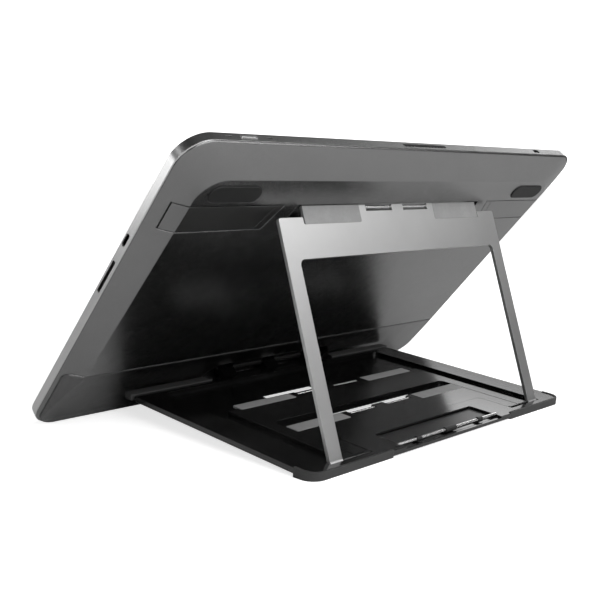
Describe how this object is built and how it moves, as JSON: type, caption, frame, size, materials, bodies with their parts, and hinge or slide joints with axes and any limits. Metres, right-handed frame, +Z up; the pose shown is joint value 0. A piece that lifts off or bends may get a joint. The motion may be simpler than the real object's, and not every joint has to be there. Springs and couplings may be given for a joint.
{
  "type": "pen drawing tablet",
  "caption": "Slim pen drawing tablet with a metal rim, domed rear cover and fold-out legs, held tilted on a flat hinged stand with nested folding props.",
  "frame": {"origin": "on the table, under the middle of the whole object's box", "axes": "+X to the user's right along the screen's long side, -Y towards the user, who faces the screen, +Z up"},
  "size_m": [0.36, 0.1946, 0.1758],
  "materials": {
    "back_paint": "satin",
    "lower_paint": "satin",
    "rim_metal": "bead blasted",
    "screen_glass": "etched matt",
    "display_stack": "smooth",
    "circuit_board": "solder mask",
    "shield_metal": "sheet",
    "bright_steel": "polished",
    "heat_spreader_copper": "bare copper",
    "ribbon_film": "film",
    "black_plastic": "moulded",
    "port_metal": "plated",
    "key_metal": "polished",
    "clip_metal": "satin",
    "rubber_grey": "moulded",
    "leg_paint": "satin",
    "base_paint": "black anodised",
    "flap_paint": "black anodised",
    "rubber_black": "moulded",
    "prop_metal": "bead blasted",
    "pad_rubber": "moulded"
  },
  "bodies": {
    "stand": {"base_plate": "base_paint", "prop_pins": "bright_steel", "hinge_pin": "bright_steel", "rear_rod": "bright_steel", "corner_bumper_right": "rubber_black", "corner_bumper_left": "rubber_black", "front_pad_right": "rubber_black", "front_pad_left": "rubber_black"},
    "outer_prop": {"outer_prop_frame": "prop_metal", "outer_prop_pads": "pad_rubber", "outer_prop_rods": "bright_steel"},
    "middle_prop": {"middle_prop_frame": "base_paint", "middle_prop_pads": "pad_rubber", "middle_prop_rods": "bright_steel"},
    "inner_prop": {"inner_prop_frame": "base_paint", "inner_prop_pads": "pad_rubber", "inner_prop_rods": "bright_steel"},
    "flap": {"rear_flap": "flap_paint"},
    "tablet": {"rear_cover": "back_paint", "lower_cover": "lower_paint", "side_frame": "rim_metal", "cover_glass": "screen_glass", "display_panel": "display_stack", "pen_sensor": "circuit_board", "shield_plate": "shield_metal", "main_board": "circuit_board", "board_screws": "bright_steel", "heat_spreader": "heat_spreader_copper", "port_board": "circuit_board", "display_driver_board": "circuit_board", "ribbon_cable": "ribbon_film", "speakers": "black_plastic", "fan_housing": "black_plastic", "vent_grille": "black_plastic", "lock_insert": "port_metal", "usb_shell": "port_metal", "usb_tongue": "black_plastic", "card_reader": "black_plastic", "power_switch": "black_plastic", "front_clip": "clip_metal", "rear_feet": "rubber_grey", "leg_pins": "bright_steel", "leg_catches": "leg_paint"},
    "power_button": {"power_key": "key_metal"},
    "fan": {"fan_wheel": "black_plastic"},
    "leg_right": {"fold_leg_right": "leg_paint"},
    "leg_left": {"fold_leg_left": "leg_paint"}
  },
  "joints": [
    {"name": "tablet_tilt", "type": "hinge", "parent": "stand", "child": "tablet", "pos_m": [0, -0.07397, 0.02039], "axis": [1, 0, 0], "range_deg": [0, 39]},
    {"name": "outer_prop_fold", "type": "hinge", "parent": "stand", "child": "outer_prop", "pos_m": [0, 0.08854, 0.00357], "axis": [1, 0, 0], "range_deg": [0, 67.6]},
    {"name": "middle_prop_lift", "type": "hinge", "parent": "stand", "child": "middle_prop", "pos_m": [0, 0.08854, 0.00357], "axis": [-1, 0, 0], "range_deg": [0, 70]},
    {"name": "inner_prop_lift", "type": "hinge", "parent": "stand", "child": "inner_prop", "pos_m": [0, 0.08854, 0.00357], "axis": [-1, 0, 0], "range_deg": [0, 70]},
    {"name": "rear_flap_lift", "type": "hinge", "parent": "stand", "child": "flap", "pos_m": [0, 0.0919, 0.00433], "axis": [-1, 0, 0], "range_deg": [0, 90]},
    {"name": "leg_right_swing", "type": "hinge", "parent": "tablet", "child": "leg_right", "pos_m": [0.1675, 0.03743, 0.13501], "axis": [0, -0.682, -0.7314], "range_deg": [0, 90]},
    {"name": "leg_left_swing", "type": "hinge", "parent": "tablet", "child": "leg_left", "pos_m": [-0.1675, 0.03743, 0.13501], "axis": [0, 0.682, 0.7314], "range_deg": [0, 90]},
    {"name": "power_key_press", "type": "slide", "parent": "tablet", "child": "power_button", "axis": [0, -0.682, -0.7314], "range_m": [0, 0.0005], "stiffness_N_per_m": 300, "springref_m": -0.0005},
    {"name": "fan_spin", "type": "hinge", "parent": "tablet", "child": "fan", "pos_m": [-0.0012, 0.05039, 0.15273], "axis": [0, -0.7314, 0.682], "continuous": true}
  ],
  "couplings": [
    {"joint": "outer_prop_fold", "follows": "tablet_tilt", "ratio": 1.7333}
  ]
}
